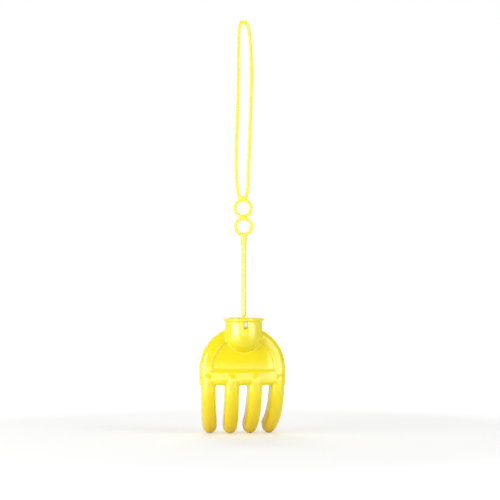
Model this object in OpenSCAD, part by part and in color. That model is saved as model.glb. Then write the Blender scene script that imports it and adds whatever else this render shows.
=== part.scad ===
// Bubble wand that doubles as the cap of a bubble tube and as a small sand rake.
// The handle is one thin moulding, open at the back: a collar with a round bottom,
// an arched palm and four claw tines. A stopper with a sealing washer sits in the
// collar and holds the pin of the wand.
// The origin is the middle of the seat that the end of a bubble tube rests on.
// The wand points up, and the front of the rake faces -Y.

/* [Collar] */
// Outside diameter of the collar
collar_d = 24.8; // [24.4:0.1:27]
// Height of the round bottom under the collar
bottom_h = 12.1; // [10:0.1:12.3]
// Diameter of the bore that the neck of the tube goes into
bore_d = 21.8; // [21.2:0.1:22.2]
// Depth from the rim down to the seat of the tube
socket_h = 7.4; // [6.8:0.1:12]
// Diameter of the rim flange
rim_d = 27; // [26.6:0.1:30]
// Thickness of the rim flange
rim_h = 1.8; // [1:0.1:3]
// Wall of the round bottom
bottom_wall = 2.2; // [1.8:0.1:2.6]
// Width of the locking window in the front of the collar
window_w = 2.7; // [1.5:0.1:5]
// Height of the locking window
window_h = 6.3; // [3:0.1:6.6]

/* [Palm] */
// Width of the palm across its sides
palm_w = 57.6; // [54:0.2:62]
// Distance from the rim down to the centre of the palm's round top
palm_drop = 34; // [31:0.5:38]
// Length of the palm below that centre, down to the gaps between the tines
palm_h = 11; // [9:0.5:18]
// Radius of the arch of the palm's front
arch_r = 80; // [60:1:140]
// Distance of the palm's front ahead of the collar's middle
palm_set = 4; // [2:0.2:6]
// Depth of the palm from its front to its open back
palm_depth = 9.3; // [8:0.1:12]
// Radius of the palm's rounded outer edge
edge_r = 5; // [3.5:0.1:7]
// Radius of the palm's rounded lower edge between the tines
web_r = 3.4; // [3.2:0.1:5]
// Wall of the handle moulding
wall = 1.5; // [1:0.1:1.7]

/* [Recess] */
// Diameter of the half round recess in the palm, at its floor
recess_d = 41.8; // [34:0.2:44]
// Depth of the recess
recess_h = 1.2; // [0.4:0.1:1.4]
// Widening of the recess from its floor to the palm's front
recess_slope = 0.9; // [0.2:0.1:2]

/* [Tines] */
// Width of a tine
tine_w = 9.8; // [8:0.1:11]
// Distance between neighbouring tines at the palm
tine_pitch = 15.5; // [13.5:0.1:16]
// Height of a tine's side walls behind its half round front
tine_side = 4.1; // [1:0.1:5]
// Height that the tines stand out of the palm's front
tine_proud = 0.6; // [0.2:0.1:1.4]
// Radius of the bend that carries a tine backwards
bend_r = 35.8; // [28:0.2:50]
// Angle that a tine turns backwards
bend_a = 62; // [30:1:80]
// Angle that the outer tines turn towards the middle
turn_a = 9; // [0:1:14]

/* [Stopper] */
// Diameter of the plug that fills the mouth of the tube
plug_d = 17; // [16:0.1:17.6]
// Height of the plug above the seat
plug_h = 6.1; // [5:0.1:6.8]
// Wall of the plug
plug_wall = 1.3; // [0.9:0.1:2]
// Thickness of the stopper's flange
flange_h = 1.5; // [1:0.1:3]
// Diameter of the post that holds the wand's pin
post_d = 5.2; // [4.4:0.1:7]
// Number of ribs between the post and the plug's wall
rib_count = 4; // [2:1:8]
// Thickness of those ribs
rib_w = 1; // [0.6:0.1:1.6]
// Thickness of the snap tab behind the locking window
tab_wall = 0.9; // [0.8:0.1:1.1]
// Angle that the snap tab takes up round the flange
tab_a = 40; // [24:1:70]
// Height that the locking lug stands out of the tab, into the window
lug_out = 1; // [0.4:0.1:1.3]
// Height of the ramp at the lower end of the lug
lug_ramp = 1.7; // [0.5:0.1:2.5]

/* [Washer] */
// Thickness of the sealing washer
washer_h = 1.5; // [0.8:0.1:2.5]

/* [Wand stem] */
// Diameter of the stem
stem_d = 3.3; // [2.8:0.1:4]
// Gap from the rim up to the stem's lower end
stem_gap = 1; // [0.4:0.1:3]
// Length of the stem up to the sleeve
stem_h = 47.9; // [30:0.5:80]
// Diameter of the pin under the stem
pin_d = 2; // [1.6:0.1:2.4]
// Depth that the pin goes into the stopper
pin_in = 6.8; // [4:0.1:7.6]
// Diameter of the thicker sleeve under the rings
sleeve_d = 4.1; // [3.6:0.1:5]
// Length of the sleeve
sleeve_h = 5.6; // [3:0.1:10]

/* [Wand head] */
// Thickness of the rings and the loop from front to back
head_t = 3; // [2:0.1:4]
// Outside diameter of each small ring
ring_d = 12.8; // [10:0.1:16]
// Width of a ring's solid band, without its teeth
ring_band = 1.5; // [1:0.1:2]
// Number of small rings
ring_count = 2; // [1:1:4]
// Overall width of the long loop
loop_w = 10.9; // [9:0.1:16]
// Overall length of the long loop
loop_h = 119.6; // [60:1:160]
// Width of the loop's solid band, without its teeth
loop_band = 1.6; // [1:0.1:2.2]
// Height of the teeth on the inner sides
tooth_h = 0.9; // [0.3:0.1:1.2]
// Distance from tooth to tooth
tooth_pitch = 1.9; // [1.4:0.1:4]
// Sideways sway of the soft wand, from its middle line
sway = 0.85; // [0:0.05:1.2]

/* [Hidden] */
$fn = 64;

handle_colour = "#F7EB2C";
stopper_colour = "#F1EBDC";
washer_colour = "#E9D9C4";
wand_colour = "#F8F45A";

// Overrun of every cut
over = 1;
// Radial clearance of the stopper in the collar's bore and of the washer in the stopper
bore_fit = 0.1;
// Extra radial clearance of the snap tab, which lets it spring
tab_fit = 0.1;
// Clearance of the stopper's spigot in the collar's round bottom
spigot_fit = 0.4;
// Clearance of the lug at each side of the window
lug_fit = 0.1;
// Radial clearance of the pin in its socket
pin_fit = 0.05;

// Collar, counted up from the seat
collar_r = collar_d / 2;
bore_r = bore_d / 2;
rim_r = rim_d / 2;
rim_z = socket_h;
rim_bevel_share = 0.25;
rim_bevel = rim_bevel_share * rim_h;
ledge_z = -washer_h - flange_h;
cavity_r = collar_r - bottom_wall;
window_edge = 0.6;
window_z = rim_z - window_edge - window_h;

// Palm
palm_r = palm_w / 2;
palm_z = rim_z - palm_drop;
web_z = palm_z - palm_h;
face_y = -palm_set;
arch_y = face_y + arch_r;
edge_x = palm_r - edge_r;
edge_y = arch_y - sqrt(pow(arch_r - edge_r, 2) - pow(edge_x, 2));
reach_y = face_y + palm_depth + palm_r;

// Recess
recess_r = recess_d / 2;
recess_y = arch_y - sqrt(pow(arch_r - recess_h, 2) - pow(recess_r, 2));
recess_foot_share = 0.034;
recess_foot_z = palm_z - recess_foot_share * recess_r;

// Tines
tine_count = 4;
tine_r = tine_w / 2;
tine_top_share = 0.45;
tine_top_z = web_z + tine_top_share * palm_h;
tip_step = 0.05;
bend_share = 0.27;
bend_z = web_z + bend_share * palm_h;

// Stopper and washer
flange_r = bore_r - bore_fit;
tab_out_r = flange_r - tab_fit;
tab_r = tab_out_r - tab_wall;
tab_gap = 0.4;
tab_z = rim_z - tab_gap;
lug_w = window_w - 2 * lug_fit;
lug_z = window_z + lug_fit;
lug_top_z = window_z + window_h - lug_fit;
plug_r = plug_d / 2;
root_step = 0.3;
root_r = plug_r - root_step;
plug_bevel = 0.7;
socket_r = pin_d / 2 + pin_fit;
spigot_h = 1.2;
spigot_r = cavity_r - spigot_fit;
washer_out_r = tab_r - bore_fit;
washer_in_r = root_r + bore_fit;

// Wand
stem_r = stem_d / 2;
pin_r = pin_d / 2;
sleeve_r = sleeve_d / 2;
stem_z = rim_z + stem_gap;
stem_nose = stem_r - pin_r;
sleeve_z = stem_z + stem_h;
sleeve_cone = sleeve_r - stem_r;
ring_r = ring_d / 2;
lap = 0.6;
ring_step = ring_d - lap;
first_ring_z = sleeve_z + sleeve_h + ring_r;
loop_z = first_ring_z + ring_count * ring_step - ring_r - lap / 2 + loop_h / 2;
loop_top_z = loop_z + loop_h / 2;
loop_end_share = 1.25;
loop_end = loop_end_share * loop_band;
loop_power = 4;
side_steps = 40;
ring_neck_share = 0.47;
ring_neck_w = ring_neck_share * ring_d;
loop_neck_share = 0.38;
loop_neck_w = loop_neck_share * ring_d;

// Depth of the palm's arch at a distance from its middle
function arch_depth(x) = arch_r - sqrt(arch_r * arch_r - x * x);

// Sideways place of the wand's middle line at a height
function sway_at(z) =
    z < first_ring_z ? 0 : -sway * sin(360 * (z - first_ring_z) / (loop_top_z - first_ring_z));

// Half width of a long rounded loop at a distance from its middle
function half_width(z, a, b) = a * pow(max(0, 1 - pow(abs(z) / b, loop_power)), 1 / loop_power);

// A tine's place across the palm, from the leftmost to the rightmost
function tine_x(i) = (i - (tine_count - 1) / 2) * tine_pitch;

// Half of the palm's cross section: an arched front that rounds into a straight side
module half_section(inset, back) {
    tangent_x = edge_x * (arch_r - inset) / (arch_r - edge_r);
    intersection() {
        translate([0, arch_y]) circle(arch_r - inset, $fn = 256);
        translate([0, face_y]) square([tangent_x, back - face_y]);
    }
    translate([edge_x, edge_y]) circle(edge_r - inset);
    translate([0, edge_y]) square([palm_r - inset, back - edge_y]);
}

// Section of the recess across the palm, with its sloped sides and its arched floor
module recess_section(inset) {
    edge = recess_r + inset;
    difference() {
        polygon([
            [recess_slope - edge, recess_y + recess_h],
            [edge - recess_slope, recess_y + recess_h],
            [edge + 2 * recess_slope, recess_y - 2 * recess_h],
            [edge + 2 * recess_slope, face_y - over],
            [-edge - 2 * recess_slope, face_y - over],
            [-edge - 2 * recess_slope, recess_y - 2 * recess_h]
        ]);
        translate([0, arch_y]) circle(arch_r - inset - recess_h, $fn = 256);
    }
}

// Section of the recess about the upright axis of the palm's arch, with its sloped foot
module recess_foot_section(inset) {
    foot_z = recess_foot_z - inset;
    front = arch_r - inset;
    polygon([
        [front - 2 * recess_h, foot_z + recess_slope],
        [front + recess_h, foot_z - 2 * recess_slope],
        [front + recess_h, palm_z + over],
        [front - 2 * recess_h, palm_z + over]
    ]);
}

// The palm as a solid form, drawn in by an inset so that two of them leave a wall
module palm_form(inset, back) {
    translate([0, 0, palm_z])
        rotate([-90, 0, 0])
            rotate([0, 0, 180])
                rotate_extrude(angle = 180, $fn = 128)
                    difference() {
                        half_section(inset, back);
                        recess_section(inset);
                    }
    intersection() {
        difference() {
            translate([0, 0, web_z + inset])
                linear_extrude(palm_h - inset) {
                    half_section(inset, back);
                    mirror([1, 0]) half_section(inset, back);
                }
            intersection() {
                translate([0, 0, web_z + inset]) linear_extrude(palm_h + over) recess_section(inset);
                translate([0, arch_y, 0]) rotate_extrude($fn = 256) recess_foot_section(inset);
            }
        }
        translate([0, arch_y, 0]) rotate_extrude($fn = 256) web_section(inset);
    }
}

// Section of the palm's lower half about the upright axis of its arch, with a rounded lower edge
module web_section(inset) {
    translate([0, web_z + inset]) square([arch_r - web_r, palm_h - inset]);
    translate([0, web_z + web_r]) square([arch_r - inset, palm_h - web_r]);
    translate([arch_r - web_r, web_z + web_r]) circle(web_r - inset);
}

// Everything behind the palm's open back
module behind_palm() {
    translate([0, arch_y + palm_depth, palm_z]) sphere(arch_r, $fn = 200);
    translate([0, arch_y + palm_depth, web_z - over])
        cylinder(r = arch_r, h = palm_h + over, $fn = 256);
}

// Cross section of a tine: a half round front and straight sides, which run towards -X
module tine_section(inset, side) {
    r = tine_r - inset;
    intersection() {
        circle(r);
        translate([0, -r]) square([r, 2 * r]);
    }
    translate([-side, -r]) square([side, 2 * r]);
}

// Turn of a tine's section about its own middle, which rounds off its end
module tine_end(inset, side, turn) {
    rotate([0, 90, 0])
        rotate_extrude(angle = turn)
            intersection() {
                rotate([0, 0, 90]) tine_section(inset, side);
                translate([0, -side]) square([tine_r, side + tine_r]);
            }
}

// One tine as a solid form: a rounded top, a straight piece, a bend backwards and a round tip
module tine_form(inset, side) {
    translate([0, 0, tine_top_z])
        rotate([90, 0, -90]) tine_end(inset, side, 180);
    translate([0, 0, bend_z])
        linear_extrude(tine_top_z - bend_z) rotate([0, 0, -90]) tine_section(inset, side);
    translate([0, bend_r, bend_z])
        rotate([-90, 0, 0])
            rotate([0, 90, 0]) {
                rotate_extrude(angle = bend_a, $fn = 160)
                    translate([bend_r, 0]) tine_section(inset, side);
                rotate([0, 0, bend_a])
                    translate([bend_r, 0, 0]) tine_end(inset + tip_step, side - tip_step, 360);
            }
}

// A tine form set in its place in the palm
module placed_tine(i, inset, side) {
    x = tine_x(i);
    turn = turn_a * x / tine_x(tine_count - 1);
    translate([x, face_y + arch_depth(x) + tine_r - tine_proud, 0])
        rotate([0, 0, turn])
            tine_form(inset, side);
}

// Quarter of an ellipse under the origin, which makes the round bottom when it is turned
module bottom_section(r, h) {
    intersection() {
        scale([1, h / r]) circle(r);
        translate([0, -h]) square([r, h]);
    }
}

// The collar's outside, with the rim flange and the round bottom
module collar_form() {
    rotate_extrude($fn = 96) {
        polygon([
            [0, ledge_z],
            [collar_r, ledge_z],
            [collar_r, rim_z - rim_h],
            [rim_r - rim_bevel, rim_z - rim_h],
            [rim_r, rim_z - rim_h + rim_bevel],
            [rim_r, rim_z - rim_bevel],
            [rim_r - rim_bevel, rim_z],
            [0, rim_z]
        ]);
        translate([0, ledge_z]) bottom_section(collar_r, bottom_h);
    }
}

// The handle's outside, without its hollows
module handle_outside() {
    difference() {
        palm_form(0, reach_y);
        behind_palm();
    }
    for (i = [0:tine_count - 1]) placed_tine(i, 0, tine_side);
    collar_form();
}

// The hollow behind the palm and the tines, which goes round the collar
module handle_hollow() {
    difference() {
        union() {
            palm_form(wall, reach_y + over);
            for (i = [0:tine_count - 1]) placed_tine(i, wall, tine_side + palm_depth);
        }
        collar_form();
    }
}

module rake_handle() color(handle_colour)
    difference() {
        handle_outside();
        handle_hollow();
        translate([0, 0, ledge_z]) cylinder(r = bore_r, h = rim_z - ledge_z + over, $fn = 96);
        translate([0, 0, ledge_z])
            rotate_extrude($fn = 96) bottom_section(cavity_r, bottom_h - bottom_wall);
        translate([-window_w / 2, -collar_r - over, window_z])
            cube([window_w, collar_r + over, window_h]);
    }

module stopper() color(stopper_colour) {
    hollow_r = plug_r - plug_wall;
    hollow_z = plug_h - plug_wall;
    difference() {
        rotate_extrude($fn = 96) polygon([
            [0, plug_h],
            [plug_r - plug_bevel, plug_h],
            [plug_r, plug_h - plug_bevel],
            [plug_r, 0],
            [root_r, 0],
            [root_r, -washer_h],
            [flange_r, -washer_h],
            [flange_r, ledge_z],
            [spigot_r, ledge_z],
            [spigot_r, ledge_z - spigot_h],
            [hollow_r, ledge_z - spigot_h],
            [hollow_r, hollow_z],
            [0, hollow_z]
        ]);
        translate([0, 0, plug_h - pin_in]) cylinder(r = socket_r, h = pin_in + over);
    }
    rotate([0, 0, -90 - tab_a / 2])
        rotate_extrude(angle = tab_a, $fn = 96)
            translate([tab_r, ledge_z + flange_h / 2])
                square([tab_wall, tab_z - ledge_z - flange_h / 2]);
    rotate([90, 0, 90])
        linear_extrude(lug_w, center = true)
            polygon([
                [tab_wall / 2 - tab_out_r, lug_z],
                [-tab_out_r, lug_z],
                [-tab_out_r - lug_out, lug_z + lug_ramp],
                [-tab_out_r - lug_out, lug_top_z],
                [tab_wall / 2 - tab_out_r, lug_top_z]
            ]);
    difference() {
        union() {
            translate([0, 0, ledge_z]) cylinder(d = post_d, h = hollow_z - ledge_z);
            for (i = [0:rib_count - 1])
                rotate([0, 0, i * 360 / rib_count])
                    translate([0, -rib_w / 2, ledge_z])
                        cube([hollow_r, rib_w, hollow_z - ledge_z]);
        }
        translate([0, 0, plug_h - pin_in]) cylinder(r = socket_r, h = pin_in + over);
    }
}

module sealing_washer() color(washer_colour)
    translate([0, 0, -washer_h])
        difference() {
            cylinder(r = washer_out_r, h = washer_h, $fn = 96);
            translate([0, 0, -over]) cylinder(r = washer_in_r, h = washer_h + 2 * over, $fn = 96);
        }

// Flat outline of one ring with pointed teeth on its inner side
module ring_outline() {
    root = ring_r - ring_band;
    count = round(2 * PI * root / tooth_pitch);
    difference() {
        circle(ring_r);
        polygon([
            for (i = [0:2 * count - 1])
                let (r = i % 2 == 0 ? root : root - tooth_h, a = 180 * i / count)
                    [r * cos(a), r * sin(a)]
        ]);
    }
}

// Heights of the loop's outer corners, closer together towards its ends
function side_heights(b) = [for (i = [0:side_steps]) b * sin(90 * (2 * i / side_steps - 1))];

// Flat outline of the long loop, with teeth along both inner sides
module loop_outline() {
    a = loop_w / 2;
    b = loop_h / 2;
    in_a = a - loop_band;
    in_b = b - loop_end;
    outer = [for (z = side_heights(b)) [half_width(z, a, b), z]];
    count = floor(2 * in_b / tooth_pitch) - 1;
    inner = [
        for (i = [0:2 * count])
            let (z = (i - count) * tooth_pitch / 2, tooth = i % 2 == 0 ? 0 : tooth_h)
                [max(half_width(z, in_a, in_b) - tooth, tooth_h / 2), z]
    ];
    difference() {
        polygon(swayed(outer));
        polygon(swayed(concat([[0, -in_b]], inner, [[0, in_b]])));
    }
}

// Both sides of an outline from its right side, following the sway
function swayed(side) = concat(
    [for (p = side) [sway_at(loop_z + p[1]) + p[0], p[1]]],
    [for (i = [len(side) - 2:-1:1]) [sway_at(loop_z + side[i][1]) - side[i][0], side[i][1]]]
);

module wand() color(wand_colour) {
    translate([0, 0, plug_h - pin_in]) cylinder(r = pin_r, h = stem_z - plug_h + pin_in);
    translate([0, 0, stem_z]) cylinder(r1 = pin_r, r2 = stem_r, h = stem_nose);
    translate([0, 0, stem_z + stem_nose]) cylinder(r = stem_r, h = stem_h - stem_nose);
    translate([0, 0, sleeve_z]) cylinder(r1 = stem_r, r2 = sleeve_r, h = sleeve_cone);
    translate([0, 0, sleeve_z + sleeve_cone])
        cylinder(r = sleeve_r, h = sleeve_h - sleeve_cone + ring_band);
    rotate([90, 0, 0])
        linear_extrude(head_t, center = true) {
            for (i = [0:ring_count - 1]) {
                z = first_ring_z + i * ring_step;
                neck_z = z + ring_step / 2;
                neck_w = i < ring_count - 1 ? ring_neck_w : loop_neck_w;
                translate([sway_at(z), z]) ring_outline();
                translate([sway_at(neck_z) - neck_w / 2, neck_z - ring_band])
                    square([neck_w, 2 * ring_band]);
            }
            translate([0, loop_z]) loop_outline();
        }
}

rake_handle();
stopper();
sealing_washer();
wand();
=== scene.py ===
"""Looks of a bubble wand whose handle is a small claw rake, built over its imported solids."""

import math

import bmesh
import bpy
import numpy
from mathutils import Euler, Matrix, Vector


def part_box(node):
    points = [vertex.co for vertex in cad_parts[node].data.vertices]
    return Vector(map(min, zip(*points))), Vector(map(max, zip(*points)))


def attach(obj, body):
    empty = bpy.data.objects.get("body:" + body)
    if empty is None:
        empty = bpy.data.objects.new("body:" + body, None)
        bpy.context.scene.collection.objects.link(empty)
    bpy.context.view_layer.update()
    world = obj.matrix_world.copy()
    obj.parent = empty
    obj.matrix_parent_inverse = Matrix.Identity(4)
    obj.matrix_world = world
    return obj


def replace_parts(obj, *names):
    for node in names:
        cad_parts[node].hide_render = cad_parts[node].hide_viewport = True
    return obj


bl_info = {
    "name": "Bubble wand with rake handle",
    "version": (1, 0, 0),
    "blender": (4, 5, 0),
    "location": "View3D > Sidebar > Bubble wand",
    "description": "Finishes the moulded pieces of a bubble wand and sets up its stage",
    "category": "Object",
}

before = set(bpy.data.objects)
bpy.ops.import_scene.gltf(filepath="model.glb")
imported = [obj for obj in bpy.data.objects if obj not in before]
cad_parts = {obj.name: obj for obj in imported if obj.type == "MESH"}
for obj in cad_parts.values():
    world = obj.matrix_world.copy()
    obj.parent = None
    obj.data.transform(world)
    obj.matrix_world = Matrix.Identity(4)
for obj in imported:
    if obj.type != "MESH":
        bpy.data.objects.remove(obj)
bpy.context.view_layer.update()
MM = 0.001
BODY = "root"
TIP_Z, RIM_Z = (corner.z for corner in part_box("rake_handle"))

# The rim flange, and the length of it that runs on in front of the locking window
RIM_RADIUS = 13.5 * MM
RIM_HEIGHT = 1.8 * MM
RIM_BEVEL = 0.45 * MM
RIM_DEPTH = 1.2 * MM
BRIDGE_ANGLE = math.radians(20)
BRIDGE_STEPS = 6

# Surfaces: what counts as one point, how far a softening step goes, how far a fold reads on
MERGE_GAP = 1e-7
SOFTENING = 0.5
FOLD_ROUNDS = 1

# Moulded skin, with painted shade in hollows and a painted highlight on proud edges: folds are in
# mm, hollow above zero and proud below it
STREAK_RANGE = (0.35, 0.65)
HOLLOW_RANGE = (0.012, 0.07)
PROUD_RANGE = (-0.02, -0.08)
# How strong the painted highlight on proud edges gets
EDGE_HIGHLIGHT_SHARE = 0.6
DULL_RANGE = (0.008, 0.05)
DULL_ROUGHNESS = 0.4
FLOW_DETAIL = 3.0
FLOW_DISTORTION = 1.2
SKIN_DETAIL = 2.0
UNEVEN_RANGE = (0.5, 1.5)

# Painted shade on the handle, darker towards the tines' tips: how far down towards the tips it
# starts, and how strong it gets
TIP_SHADE_START = 0.56
TIP_SHADE_MOST = 0.9

# Painted shade in the seals' hollows, as a part of their own colour
SEAL_SHADE = 0.9

# Looks of the four mouldings
HANDLE_LOOK = {
    "ior": 1.5,
    "gloss": 0.7,
    "soft": 0.3,
    "soft_radius": (1.0, 0.7, 0.08),
    "soft_scale": 1.2 * MM,
    "flow_scale": 26.0,
    "flow": 0.12,
    "skin_scale": 700.0,
    "roughness": 0.11,
    "spread": 0.04,
    "skin_strength": 0.2,
    "skin_height": 0.02 * MM,
    # Painted shade, darker towards the tines' tips
    "tip_shade_range": (TIP_SHADE_START * TIP_Z, TIP_Z),
}

WAND_LOOK = {
    "ior": 1.5,
    "gloss": 0.7,
    "soft": 0.4,
    "soft_radius": (1.0, 0.9, 0.3),
    "soft_scale": 2.0 * MM,
    "flow_scale": 60.0,
    "flow": 0.4,
    "skin_scale": 1200.0,
    "roughness": 0.15,
    "spread": 0.06,
    "skin_strength": 0.2,
    "skin_height": 0.015 * MM,
}

STOPPER_LOOK = {
    "ior": 1.51,
    "gloss": 0.5,
    "soft": 0.6,
    "soft_radius": (1.0, 0.9, 0.75),
    "soft_scale": 1.5 * MM,
    "flow_scale": 90.0,
    "flow": 0.3,
    "skin_scale": 1500.0,
    "roughness": 0.38,
    "spread": 0.1,
    "skin_strength": 0.3,
    "skin_height": 0.02 * MM,
}

WASHER_LOOK = {
    "ior": 1.45,
    "gloss": 0.4,
    "soft": 0.3,
    "soft_radius": (1.0, 0.8, 0.6),
    "soft_scale": 0.8 * MM,
    "flow_scale": 200.0,
    "flow": 0.6,
    "skin_scale": 2600.0,
    "roughness": 0.62,
    "spread": 0.15,
    "skin_strength": 0.7,
    "skin_height": 0.08 * MM,
}

# Lamps: azimuth in degrees from the front, sizes and lift off the floor in metres, and share
# of the glow
FLOOR_LAMPS = (
    {
        "name": "left_box",
        "azimuth": -62.0,
        "wide": 0.80,
        "tall": 0.38,
        "lift": 0.0,
        "share": 1.0,
    },
    {
        "name": "right_box",
        "azimuth": 47.0,
        "wide": 0.46,
        "tall": 0.75,
        "lift": 0.0,
        "share": 0.49,
    },
)
REAR_LAMP = {
    "name": "rear_box",
    "azimuth": 180.0,
    "wide": 0.80,
    "tall": 0.60,
    "lift": 0.55,
    "share": 0.4,
}
LAMP_DISTANCE = 0.9

# Floor: its tone, and its glow near the object and far from it
FLOOR_TONE = (0.86, 0.86, 0.85)
FLOOR_REACH = (0.2, 0.6)
FLOOR_GLOW = (0.23, 0.8)

# Painted reflection: the floor's glow in mirrored rays only, in front, and towards the lamps
FRONT_REACH = (-0.34, -0.43)
FRONT_GLEAM = 2.2
LAMP_REACH = (0.05, 0.16)
LAMP_GLEAM = 0.7
LAMP_EDGE = math.radians(5)

# Backdrop, as parts of a direction: where behind and how low the mirrored air turns white
BEHIND_RANGE = (0.5, 0.8)
LOW_RANGE = (0.05, 0.07)

# Camera: what it takes in, and where it looks, from the rim's middle
SENSOR_WIDTH = 36.0
VIEW_WIDTH = 333.3 * MM
VIEW_RIGHT = 4.3 * MM
VIEW_UP = 45.3 * MM


# Properties


class HandleProperties(bpy.types.PropertyGroup):
    """Sizes and colours of the moulded rake handle"""

    grid: bpy.props.FloatProperty(
        name="Grid",
        description="Spacing of the surface points of the finished handle",
        default=0.49 * MM,
        min=0.45 * MM,
        max=1.0 * MM,
        unit="LENGTH",
        precision=5,
    )
    rounding: bpy.props.IntProperty(
        name="Rounding",
        description="How many times the edges of the moulding are softened",
        default=2,
        min=1,
        max=12,
    )
    colour: bpy.props.FloatVectorProperty(
        name="Colour",
        description="Colour of the glossy yellow plastic",
        subtype="COLOR",
        size=3,
        default=(0.93, 0.81, 0.012),
        min=0.0,
        max=1.0,
    )
    # Painted shade: this colour goes into the inner corners and towards the tines' tips, and also
    # tints the flow streaks
    shade_and_streak_colour: bpy.props.FloatVectorProperty(
        name="Shade and streak colour",
        description="Colour of the tines' tips and of the inner corners",
        subtype="COLOR",
        size=3,
        default=(0.86, 0.6, 0.004),
        min=0.0,
        max=1.0,
    )
    # Painted highlight: this paler colour goes along the proud outer edges
    edge_highlight_colour: bpy.props.FloatVectorProperty(
        name="Edge highlight colour",
        description="Colour of the thin outer edges",
        subtype="COLOR",
        size=3,
        default=(0.95, 0.88, 0.08),
        min=0.0,
        max=1.0,
    )


class WandProperties(bpy.types.PropertyGroup):
    """Sizes and colours of the soft wand"""

    grid: bpy.props.FloatProperty(
        name="Grid",
        description="Spacing of the surface points of the finished wand",
        default=0.24 * MM,
        min=0.22 * MM,
        max=0.5 * MM,
        unit="LENGTH",
        precision=5,
    )
    rounding: bpy.props.IntProperty(
        name="Rounding",
        description="How many times the edges of the wand are softened",
        default=4,
        min=1,
        max=12,
    )
    colour: bpy.props.FloatVectorProperty(
        name="Colour",
        description="Colour of the paler, slightly see-through plastic",
        subtype="COLOR",
        size=3,
        default=(0.93, 0.86, 0.07),
        min=0.0,
        max=1.0,
    )
    # Painted shade: this colour goes into the wand's hollows and also tints the flow streaks;
    # nothing in the code follows the wand's thickness
    shade_and_streak_colour: bpy.props.FloatVectorProperty(
        name="Shade and streak colour",
        description="Colour where the wand is thickest",
        subtype="COLOR",
        size=3,
        default=(0.90, 0.76, 0.02),
        min=0.0,
        max=1.0,
    )
    # Painted highlight: this paler colour goes along the wand's proud edges
    edge_highlight_colour: bpy.props.FloatVectorProperty(
        name="Edge highlight colour",
        description="Colour of the thin outer edges",
        subtype="COLOR",
        size=3,
        default=(0.95, 0.90, 0.16),
        min=0.0,
        max=1.0,
    )


class SealProperties(bpy.types.PropertyGroup):
    """Sizes and colours of the stopper and its washer"""

    grid: bpy.props.FloatProperty(
        name="Grid",
        description="Spacing of the surface points of the stopper and the washer",
        default=0.25 * MM,
        min=0.2 * MM,
        max=0.5 * MM,
        unit="LENGTH",
        precision=5,
    )
    rounding: bpy.props.IntProperty(
        name="Rounding",
        description="How many times the edges of the two seals are softened",
        default=3,
        min=1,
        max=12,
    )
    stopper_colour: bpy.props.FloatVectorProperty(
        name="Stopper colour",
        description="Colour of the milky stopper",
        subtype="COLOR",
        size=3,
        default=(0.96, 0.88, 0.72),
        min=0.0,
        max=1.0,
    )
    washer_colour: bpy.props.FloatVectorProperty(
        name="Washer colour",
        description="Colour of the foamed washer",
        subtype="COLOR",
        size=3,
        default=(0.83, 0.66, 0.45),
        min=0.0,
        max=1.0,
    )


class StageProperties(bpy.types.PropertyGroup):
    """Floor, lamps and camera"""

    floor_half: bpy.props.FloatProperty(
        name="Floor half width",
        description="Distance from the object to the floor's edge",
        default=2.2,
        min=0.5,
        unit="LENGTH",
    )
    camera_distance: bpy.props.FloatProperty(
        name="Camera distance",
        description="Distance from the camera to the wand",
        default=1.4,
        min=0.3,
        unit="LENGTH",
    )
    camera_azimuth: bpy.props.FloatProperty(
        name="Camera azimuth",
        description="Angle of the camera from the front towards the right",
        default=math.radians(-7.5),
        unit="ROTATION",
    )
    lamp_glow: bpy.props.FloatProperty(
        name="Lamp glow",
        description="Brightness of the left lamp's surface, where white paper in even light is 1",
        default=6.0,
        min=0.0,
    )
    fill: bpy.props.FloatProperty(
        name="Fill",
        description="Strength of the even light from all round",
        default=0.49,
        min=0.0,
    )
    mirrored_room: bpy.props.FloatProperty(
        name="Mirrored room",
        description="How bright the room in front looks in the gloss of the plastic",
        default=0.13,
        min=0.0,
    )


# Meshes


def add_object(name, mesh):
    """Links a finished mesh as a piece that rides on the body."""
    piece = bpy.data.objects.new(name, mesh)
    bpy.context.scene.collection.objects.link(piece)
    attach(piece, BODY)
    return piece


def add_rim_bridge(shape):
    """Adds a short length of rim flange, which runs unbroken in front of the locking window."""
    start = Vector((0.0, -RIM_RADIUS, 0.0))
    start.rotate(Euler((0.0, 0.0, -0.5 * BRIDGE_ANGLE)))
    outward = start.normalized()
    corners = (
        (RIM_RADIUS - RIM_DEPTH, RIM_Z - RIM_HEIGHT),
        (RIM_RADIUS, RIM_Z - RIM_HEIGHT),
        (RIM_RADIUS, RIM_Z - RIM_BEVEL),
        (RIM_RADIUS - RIM_BEVEL, RIM_Z),
        (RIM_RADIUS - RIM_DEPTH, RIM_Z),
    )
    points = [shape.verts.new(reach * outward + Vector((0.0, 0.0, z))) for reach, z in corners]
    profile = shape.faces.new(points)
    bmesh.ops.spin(
        shape,
        geom=[*points, *profile.edges, profile],
        cent=(0.0, 0.0, 0.0),
        axis=(0.0, 0.0, 1.0),
        angle=BRIDGE_ANGLE,
        steps=BRIDGE_STEPS,
        use_duplicate=False,
    )
    bmesh.ops.recalc_face_normals(shape, faces=shape.faces)


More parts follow.
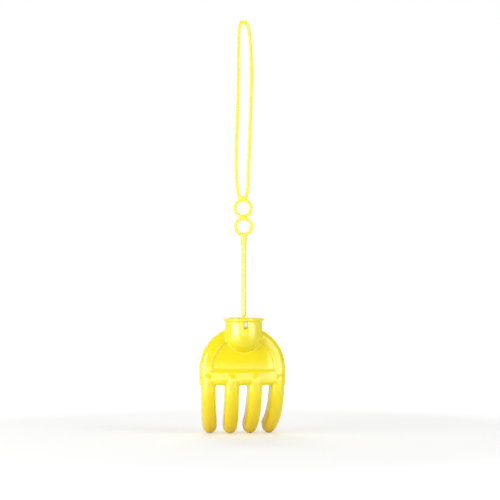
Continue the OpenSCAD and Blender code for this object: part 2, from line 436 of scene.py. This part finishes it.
def softened_mesh(node, name, grid, rounding, add_more=None):
    """An even mesh over a CAD node's shape, with its sharp edges rounded as a mould leaves them."""
    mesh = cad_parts[node].data.copy()
    shape = bmesh.new()
    shape.from_mesh(mesh)
    bmesh.ops.remove_doubles(shape, verts=shape.verts, dist=MERGE_GAP)
    bmesh.ops.dissolve_degenerate(shape, edges=shape.edges, dist=MERGE_GAP)
    if add_more:
        add_more(shape)
    shape.to_mesh(mesh)
    shape.free()
    mesh.materials.clear()

    raw = bpy.data.objects.new(name + "_raw", mesh)
    bpy.context.scene.collection.objects.link(raw)
    even = raw.modifiers.new("even_surface", "REMESH")
    even.mode = "VOXEL"
    even.voxel_size = grid
    even.adaptivity = 0.0
    depsgraph = bpy.context.evaluated_depsgraph_get()
    finished = bpy.data.meshes.new_from_object(raw.evaluated_get(depsgraph))
    finished.name = name
    bpy.data.objects.remove(raw)
    bpy.data.meshes.remove(mesh)

    shape = bmesh.new()
    shape.from_mesh(finished)
    for _ in range(rounding):
        bmesh.ops.smooth_vert(
            shape,
            verts=shape.verts,
            factor=SOFTENING,
            use_axis_x=True,
            use_axis_y=True,
            use_axis_z=True,
        )
    for face in shape.faces:
        face.smooth = True
    shape.to_mesh(finished)
    shape.free()
    mark_folds(finished)
    return finished


def mark_folds(mesh):
    """Stores how hollow (above zero) or proud (below zero) the surface is at each point, in mm."""
    count = len(mesh.vertices)
    places = numpy.empty(3 * count)
    mesh.vertices.foreach_get("co", places)
    places = places.reshape(-1, 3)
    normals = numpy.empty(3 * count)
    mesh.vertex_normals.foreach_get("vector", normals)
    normals = normals.reshape(-1, 3)
    pairs = numpy.empty(2 * len(mesh.edges), dtype=numpy.int32)
    mesh.edges.foreach_get("vertices", pairs)
    first, second = pairs.reshape(-1, 2).T
    neighbours = numpy.bincount(pairs, minlength=count)

    def around(values):
        """Mean of the values at each point's neighbours."""
        total = numpy.bincount(first, weights=values[second], minlength=count)
        total += numpy.bincount(second, weights=values[first], minlength=count)
        return total / neighbours

    fold = numpy.zeros(count)
    for axis in range(3):
        fold += (around(places[:, axis]) - places[:, axis]) * normals[:, axis]
    fold = fold / MM
    for _ in range(FOLD_ROUNDS):
        fold = 0.5 * (fold + around(fold))
    attribute = mesh.attributes.new("fold", "FLOAT", "POINT")
    attribute.data.foreach_set("value", fold)


# Shader nodes


def joined(nodes, links, operation, first, second):
    """The output of a Math node on two sockets."""
    node = nodes.new("ShaderNodeMath")
    node.operation = operation
    links.new(first, node.inputs[0])
    links.new(second, node.inputs[1])
    return node.outputs[0]


def ranged(nodes, links, value, low, high, low_result, high_result):
    """The output of a Map Range node that takes low to low_result and high to high_result."""
    node = nodes.new("ShaderNodeMapRange")
    node.inputs["From Min"].default_value = low
    node.inputs["From Max"].default_value = high
    node.inputs["To Min"].default_value = low_result
    node.inputs["To Max"].default_value = high_result
    links.new(value, node.inputs["Value"])
    return node.outputs["Result"]


def vector_math(nodes, links, operation, first, second=None):
    """A Vector Math node on a socket and, where the operation takes one, a fixed vector."""
    node = nodes.new("ShaderNodeVectorMath")
    node.operation = operation
    links.new(first, node.inputs[0])
    if second is not None:
        node.inputs[1].default_value = second
    return node


def ray_mask(nodes, links, *rays):
    """One for rays of the kinds named, nothing for the others."""
    path = nodes.new("ShaderNodeLightPath")
    total = path.outputs[rays[0]]
    for ray in rays[1:]:
        total = joined(nodes, links, "MAXIMUM", total, path.outputs[ray])
    return total


def group_socket(group, name, kind, where, default=None):
    """Adds one named socket to a shader group."""
    socket = group.interface.new_socket(name=name, in_out=where, socket_type=kind)
    if default is not None:
        socket.default_value = default
    return socket


def moulded_group():
    """Flow marks, painted shade in hollows and towards the tips, duller hollows, a painted
    highlight on proud edges and fine skin of moulded plastic, as values.
    """
    name = "moulded_skin_and_painted_light"
    if name in bpy.data.node_groups:
        return bpy.data.node_groups[name]
    group = bpy.data.node_groups.new(name, "ShaderNodeTree")
    group_socket(group, "Vector", "NodeSocketVector", "INPUT")
    group_socket(group, "Fold", "NodeSocketFloat", "INPUT", 0.0)
    group_socket(group, "Depth", "NodeSocketFloat", "INPUT", 0.0)
    group_socket(group, "Flow scale", "NodeSocketFloat", "INPUT", 30.0)
    group_socket(group, "Flow strength", "NodeSocketFloat", "INPUT", 0.2)
    group_socket(group, "Skin scale", "NodeSocketFloat", "INPUT", 900.0)
    group_socket(group, "Roughness", "NodeSocketFloat", "INPUT", 0.2)
    group_socket(group, "Roughness spread", "NodeSocketFloat", "INPUT", 0.05)
    group_socket(group, "Colour", "NodeSocketColor", "INPUT", (1, 1, 1, 1))
    group_socket(group, "Shade and streak colour", "NodeSocketColor", "INPUT", (1, 1, 1, 1))
    group_socket(group, "Edge highlight colour", "NodeSocketColor", "INPUT", (1, 1, 1, 1))
    group_socket(group, "Colour", "NodeSocketColor", "OUTPUT")
    group_socket(group, "Roughness", "NodeSocketFloat", "OUTPUT")
    group_socket(group, "Height", "NodeSocketFloat", "OUTPUT")

    nodes, links = group.nodes, group.links
    given = nodes.new("NodeGroupInput")
    result = nodes.new("NodeGroupOutput")

    flow = nodes.new("ShaderNodeTexNoise")
    flow.inputs["Detail"].default_value = FLOW_DETAIL
    flow.inputs["Distortion"].default_value = FLOW_DISTORTION
    links.new(given.outputs["Vector"], flow.inputs["Vector"])
    links.new(given.outputs["Flow scale"], flow.inputs["Scale"])
    streak = ranged(nodes, links, flow.outputs["Fac"], *STREAK_RANGE, 0.0, 1.0)
    flowed = joined(nodes, links, "MULTIPLY", streak, given.outputs["Flow strength"])

    # Painted shade goes where the surface is hollow, a painted highlight where it is proud
    hollow = ranged(nodes, links, given.outputs["Fold"], *HOLLOW_RANGE, 0.0, 1.0)
    # Painted highlight where the surface is proud
    proud = ranged(nodes, links, given.outputs["Fold"], *PROUD_RANGE, 0.0, EDGE_HIGHLIGHT_SHARE)
    # The darker colour carries the painted shade in hollows, the painted shade towards the tips,
    # and the flow streaks
    shade_and_streak = joined(nodes, links, "MAXIMUM", hollow, given.outputs["Depth"])
    shade_and_streak = joined(nodes, links, "MAXIMUM", shade_and_streak, flowed)

    body = nodes.new("ShaderNodeMix")
    body.data_type = "RGBA"
    links.new(shade_and_streak, body.inputs["Factor"])
    links.new(given.outputs["Colour"], body.inputs["A"])
    links.new(given.outputs["Shade and streak colour"], body.inputs["B"])
    edged = nodes.new("ShaderNodeMix")
    edged.data_type = "RGBA"
    links.new(proud, edged.inputs["Factor"])
    links.new(body.outputs["Result"], edged.inputs["A"])
    links.new(given.outputs["Edge highlight colour"], edged.inputs["B"])
    links.new(edged.outputs["Result"], result.inputs["Colour"])

    skin = nodes.new("ShaderNodeTexNoise")
    skin.inputs["Detail"].default_value = SKIN_DETAIL
    links.new(given.outputs["Vector"], skin.inputs["Vector"])
    links.new(given.outputs["Skin scale"], skin.inputs["Scale"])
    links.new(skin.outputs["Fac"], result.inputs["Height"])

    uneven = joined(nodes, links, "ADD", flow.outputs["Fac"], skin.outputs["Fac"])
    spread = ranged(nodes, links, uneven, *UNEVEN_RANGE, -0.5, 0.5)
    spread = joined(nodes, links, "MULTIPLY", spread, given.outputs["Roughness spread"])
    rough = joined(nodes, links, "ADD", spread, given.outputs["Roughness"])
    dull = ranged(nodes, links, given.outputs["Fold"], *DULL_RANGE, 0.0, DULL_ROUGHNESS)
    rough = joined(nodes, links, "ADD", rough, dull)
    links.new(rough, result.inputs["Roughness"])
    return group


# Materials


def moulded_material(name, colour, shade_and_streak, edge, look):
    """A moulded plastic with its own skin, flow marks, gloss and softness, with painted shade in
    its hollows and, where a tip shade range is given, towards the tips, and a painted highlight on
    its proud edges.
    """
    material = bpy.data.materials.new(name)
    material.use_nodes = True
    nodes, links = material.node_tree.nodes, material.node_tree.links
    shader = nodes["Principled BSDF"]
    shader.inputs["IOR"].default_value = look["ior"]
    shader.inputs["Specular IOR Level"].default_value = look["gloss"]
    shader.inputs["Subsurface Weight"].default_value = look["soft"]
    shader.inputs["Subsurface Radius"].default_value = look["soft_radius"]
    shader.inputs["Subsurface Scale"].default_value = look["soft_scale"]

    place = nodes.new("ShaderNodeTexCoord")
    fold = nodes.new("ShaderNodeAttribute")
    fold.attribute_name = "fold"
    skin = nodes.new("ShaderNodeGroup")
    skin.node_tree = moulded_group()
    skin.inputs["Flow scale"].default_value = look["flow_scale"]
    skin.inputs["Flow strength"].default_value = look["flow"]
    skin.inputs["Skin scale"].default_value = look["skin_scale"]
    skin.inputs["Roughness"].default_value = look["roughness"]
    skin.inputs["Roughness spread"].default_value = look["spread"]
    skin.inputs["Colour"].default_value = (*colour, 1.0)
    skin.inputs["Shade and streak colour"].default_value = (*shade_and_streak, 1.0)
    skin.inputs["Edge highlight colour"].default_value = (*edge, 1.0)
    links.new(place.outputs["Object"], skin.inputs["Vector"])
    links.new(fold.outputs["Fac"], skin.inputs["Fold"])
    # Painted shade, darker towards the tines' tips
    if "tip_shade_range" in look:
        split = nodes.new("ShaderNodeSeparateXYZ")
        links.new(place.outputs["Object"], split.inputs["Vector"])
        tip_shade = ranged(nodes, links, split.outputs["Z"], *look["tip_shade_range"], 0.0, TIP_SHADE_MOST)
        links.new(tip_shade, skin.inputs["Depth"])
    links.new(skin.outputs["Colour"], shader.inputs["Base Color"])
    links.new(skin.outputs["Roughness"], shader.inputs["Roughness"])

    bump = nodes.new("ShaderNodeBump")
    bump.inputs["Strength"].default_value = look["skin_strength"]
    bump.inputs["Distance"].default_value = look["skin_height"]
    links.new(skin.outputs["Height"], bump.inputs["Height"])
    links.new(bump.outputs["Normal"], shader.inputs["Normal"])
    return material


def direction(azimuth):
    """Level unit vector from the object towards an azimuth in degrees, the front being 0."""
    angle = math.radians(azimuth)
    return Vector((math.sin(angle), -math.cos(angle), 0.0))


def lamp_sector(nodes, links, towards, lamp):
    """One on the stretch of floor between the object and a lamp, nothing elsewhere."""
    half = math.atan(0.5 * lamp["wide"] / LAMP_DISTANCE)
    facing = vector_math(nodes, links, "DOT_PRODUCT", towards, direction(lamp["azimuth"]))
    low, high = math.cos(half + LAMP_EDGE), math.cos(half - LAMP_EDGE)
    return ranged(nodes, links, facing.outputs["Value"], low, high, 0.0, 1.0)


def floor_material(name, lamp_glow):
    """A pale floor that keeps the object's soft shadow and turns white further off.

    In mirrored rays it glows brighter than white in front and towards the lamps, a painted
    reflection, so that the lamps' highlights run on downwards as they would on an object high above
    the floor.
    """
    material = bpy.data.materials.new(name)
    material.use_nodes = True
    nodes, links = material.node_tree.nodes, material.node_tree.links
    nodes.clear()
    out = nodes.new("ShaderNodeOutputMaterial")
    matt = nodes.new("ShaderNodeBsdfDiffuse")
    matt.inputs["Color"].default_value = (*FLOOR_TONE, 1.0)
    glow = nodes.new("ShaderNodeEmission")
    glow.inputs["Color"].default_value = (1.0, 1.0, 1.0, 1.0)

    place = nodes.new("ShaderNodeTexCoord")
    split = nodes.new("ShaderNodeSeparateXYZ")
    links.new(place.outputs["Object"], split.inputs["Vector"])
    # Painted reflection: glow that only mirrored rays see, in a band in front and in sectors
    # towards the lamps
    gleam = ranged(nodes, links, split.outputs["Y"], *FRONT_REACH, 0.0, FRONT_GLEAM)
    flat = vector_math(nodes, links, "MULTIPLY", place.outputs["Object"], (1.0, 1.0, 0.0))
    flat = flat.outputs["Vector"]
    away = vector_math(nodes, links, "LENGTH", flat).outputs["Value"]
    towards = vector_math(nodes, links, "NORMALIZE", flat).outputs["Vector"]
    for lamp in FLOOR_LAMPS:
        sector = lamp_sector(nodes, links, towards, lamp)
        glow_here = LAMP_GLEAM * lamp_glow * lamp["share"]
        reach = ranged(nodes, links, away, *LAMP_REACH, 0.0, glow_here)
        lit = joined(nodes, links, "MULTIPLY", sector, reach)
        gleam = joined(nodes, links, "MAXIMUM", gleam, lit)
    mirrored = ray_mask(nodes, links, "Is Glossy Ray", "Is Transmission Ray")
    mirrored = joined(nodes, links, "MULTIPLY", mirrored, gleam)
    near_to_far = ranged(nodes, links, away, *FLOOR_REACH, *FLOOR_GLOW)
    seen = ray_mask(nodes, links, "Is Camera Ray")
    seen = joined(nodes, links, "MULTIPLY", seen, near_to_far)
    strength = joined(nodes, links, "ADD", mirrored, seen)
    links.new(strength, glow.inputs["Strength"])

    both = nodes.new("ShaderNodeAddShader")
    links.new(matt.outputs[0], both.inputs[0])
    links.new(glow.outputs[0], both.inputs[1])
    links.new(both.outputs[0], out.inputs["Surface"])
    return material


# Operators


class BUBBLEWAND_OT_handle(bpy.types.Operator):
    """Finish the moulded rake handle"""

    bl_idname = "bubblewand.handle"
    bl_label = "Rake handle"

    def execute(self, context):
        sizes = context.scene.bubblewand_handle
        mesh = softened_mesh(
            "rake_handle", "handle_moulding", sizes.grid, sizes.rounding, add_rim_bridge
        )
        mesh.materials.append(
            moulded_material(
                "handle_plastic", sizes.colour, sizes.shade_and_streak_colour, sizes.edge_highlight_colour, HANDLE_LOOK
            )
        )
        piece = add_object("handle_moulding", mesh)
        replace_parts(piece, "rake_handle")
        return {"FINISHED"}


class BUBBLEWAND_OT_seals(bpy.types.Operator):
    """Finish the stopper and the sealing washer in the collar"""

    bl_idname = "bubblewand.seals"
    bl_label = "Stopper and washer"

    def execute(self, context):
        sizes = context.scene.bubblewand_seals
        plans = (
            ("stopper", "plug_moulding", "stopper", sizes.stopper_colour, STOPPER_LOOK),
            ("sealing_washer", "washer_ring", "washer", sizes.washer_colour, WASHER_LOOK),
        )
        for node, name, slot, colour, look in plans:
            mesh = softened_mesh(node, name, sizes.grid, sizes.rounding)
            # A darker copy of the seal's own colour: painted shade in its hollows, and the tint of
            # its flow streaks; the edges get no painted highlight
            shade_and_streak = [SEAL_SHADE * channel for channel in colour]
            mesh.materials.append(moulded_material(name + "_plastic", colour, shade_and_streak, colour, look))
            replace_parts(add_object(name, mesh), node)
        return {"FINISHED"}


class BUBBLEWAND_OT_wand(bpy.types.Operator):
    """Finish the soft wand with its toothed rings and loop"""

    bl_idname = "bubblewand.wand"
    bl_label = "Wand"

    def execute(self, context):
        sizes = context.scene.bubblewand_wand
        mesh = softened_mesh("wand", "wand_moulding", sizes.grid, sizes.rounding)
        mesh.materials.append(
            moulded_material(
                "wand_plastic", sizes.colour, sizes.shade_and_streak_colour, sizes.edge_highlight_colour, WAND_LOOK
            )
        )
        piece = add_object("wand_moulding", mesh)
        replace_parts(piece, "wand")
        return {"FINISHED"}


class BUBBLEWAND_OT_stage(bpy.types.Operator):
    """Set up the pale floor, the white backdrop, the soft lamps and the camera"""

    bl_idname = "bubblewand.stage"
    bl_label = "Stage"

    def execute(self, context):
        sizes = context.scene.bubblewand_stage
        self.make_floor(sizes)
        self.make_world(context, sizes)
        self.make_lamps(context, sizes)
        self.make_camera(context, sizes)
        context.scene.view_settings.view_transform = "Standard"
        return {"FINISHED"}

    def make_floor(self, sizes):
        """A level floor just under the tips of the tines."""
        shape = bmesh.new()
        bmesh.ops.create_grid(shape, x_segments=1, y_segments=1, size=sizes.floor_half)
        bmesh.ops.translate(shape, verts=shape.verts, vec=(0.0, 0.0, TIP_Z))
        mesh = bpy.data.meshes.new("studio_floor")
        shape.to_mesh(mesh)
        shape.free()
        mesh.materials.append(floor_material("pale_floor", sizes.lamp_glow))
        floor = bpy.data.objects.new("studio_floor", mesh)
        bpy.context.scene.collection.objects.link(floor)

    def make_world(self, context, sizes):
        """Even light from all round, and a white backdrop for the camera and the gloss."""
        world = bpy.data.worlds.new("studio_air")
        context.scene.world = world
        world.use_nodes = True
        nodes, links = world.node_tree.nodes, world.node_tree.links
        nodes.clear()
        out = nodes.new("ShaderNodeOutputWorld")
        air = nodes.new("ShaderNodeBackground")
        air.inputs["Color"].default_value = (1.0, 1.0, 1.0, 1.0)

        place = nodes.new("ShaderNodeTexCoord")
        split = nodes.new("ShaderNodeSeparateXYZ")
        links.new(place.outputs["Generated"], split.inputs["Vector"])
        behind = ranged(nodes, links, split.outputs["Y"], *BEHIND_RANGE, 0.0, 1.0)
        low = ranged(nodes, links, split.outputs["Z"], *LOW_RANGE, 1.0, 0.0)
        pale = joined(nodes, links, "MAXIMUM", behind, low)
        glossy = ray_mask(nodes, links, "Is Glossy Ray")
        mirrored = joined(nodes, links, "MULTIPLY", glossy, pale)
        seen = ray_mask(nodes, links, "Is Camera Ray", "Is Transmission Ray")
        white = joined(nodes, links, "MAXIMUM", mirrored, seen)
        room = ranged(nodes, links, glossy, 0.0, 1.0, sizes.fill, sizes.mirrored_room)
        lack = ranged(nodes, links, white, 0.0, 1.0, 1.0, 0.0)
        room = joined(nodes, links, "MULTIPLY", room, lack)
        strength = joined(nodes, links, "ADD", room, white)
        links.new(strength, air.inputs["Strength"])
        links.new(air.outputs[0], out.inputs["Surface"])

    def make_lamps(self, context, sizes):
        """Soft boxes on the floor left and right of the camera, and one raised behind the wand."""
        for plan in (*FLOOR_LAMPS, REAR_LAMP):
            lamp = bpy.data.lights.new(plan["name"], "AREA")
            lamp.shape = "RECTANGLE"
            lamp.size = plan["wide"]
            lamp.size_y = plan["tall"]
            glow = sizes.lamp_glow * plan["share"]
            lamp.energy = math.pi * lamp.size * lamp.size_y * glow
            holder = bpy.data.objects.new(plan["name"], lamp)
            context.scene.collection.objects.link(holder)
            outward = LAMP_DISTANCE * direction(plan["azimuth"])
            middle = Vector((0.0, 0.0, TIP_Z + plan["lift"] + 0.5 * plan["tall"]))
            inward = Vector((0.0, 0.0, -plan["lift"])) - outward
            holder.location = outward + middle
            holder.rotation_euler = inward.to_track_quat("-Z", "Y").to_euler()

    def make_camera(self, context, sizes):
        """The camera stands level in front of the wand, as in the photograph."""
        lens = bpy.data.cameras.new("camera")
        lens.sensor_width = SENSOR_WIDTH
        lens.lens = SENSOR_WIDTH * sizes.camera_distance / VIEW_WIDTH
        holder = bpy.data.objects.new("camera", lens)
        context.scene.collection.objects.link(holder)
        azimuth = math.degrees(sizes.camera_azimuth)
        back = direction(azimuth)
        right = direction(azimuth + 90.0)
        aim = VIEW_RIGHT * right + Vector((0.0, 0.0, RIM_Z + VIEW_UP))
        holder.location = aim + sizes.camera_distance * back
        holder.rotation_euler = (-back).to_track_quat("-Z", "Y").to_euler()
        context.scene.camera = holder


# Panel


class BUBBLEWAND_PT_panel(bpy.types.Panel):
    """Buttons and sizes of the bubble wand"""

    bl_idname = "BUBBLEWAND_PT_panel"
    bl_label = "Bubble wand"
    bl_space_type = "VIEW_3D"
    bl_region_type = "UI"
    bl_category = "Bubble wand"

    def draw(self, context):
        scene = context.scene
        groups = (
            ("bubblewand.handle", scene.bubblewand_handle, HandleProperties),
            ("bubblewand.seals", scene.bubblewand_seals, SealProperties),
            ("bubblewand.wand", scene.bubblewand_wand, WandProperties),
            ("bubblewand.stage", scene.bubblewand_stage, StageProperties),
        )
        for action, values, kind in groups:
            section = self.layout.box()
            section.operator(action)
            for name in kind.__annotations__:
                section.prop(values, name)


CLASSES = (
    HandleProperties,
    WandProperties,
    SealProperties,
    StageProperties,
    BUBBLEWAND_OT_handle,
    BUBBLEWAND_OT_seals,
    BUBBLEWAND_OT_wand,
    BUBBLEWAND_OT_stage,
    BUBBLEWAND_PT_panel,
)

SCENE_GROUPS = {
    "bubblewand_handle": HandleProperties,
    "bubblewand_wand": WandProperties,
    "bubblewand_seals": SealProperties,
    "bubblewand_stage": StageProperties,
}


def register():
    """Registers the classes and hangs their settings on the scene."""
    for cls in CLASSES:
        bpy.utils.register_class(cls)
    for name, kind in SCENE_GROUPS.items():
        setattr(bpy.types.Scene, name, bpy.props.PointerProperty(type=kind))


def unregister():
    """Takes the settings off the scene and unregisters the classes."""
    for name in reversed(list(SCENE_GROUPS)):
        delattr(bpy.types.Scene, name)
    for cls in reversed(CLASSES):
        bpy.utils.unregister_class(cls)


def main():
    """Builds the pieces and the stage."""
    register()
    bpy.ops.bubblewand.handle()
    bpy.ops.bubblewand.seals()
    bpy.ops.bubblewand.wand()
    bpy.ops.bubblewand.stage()


if __name__ == "__main__":
    main()
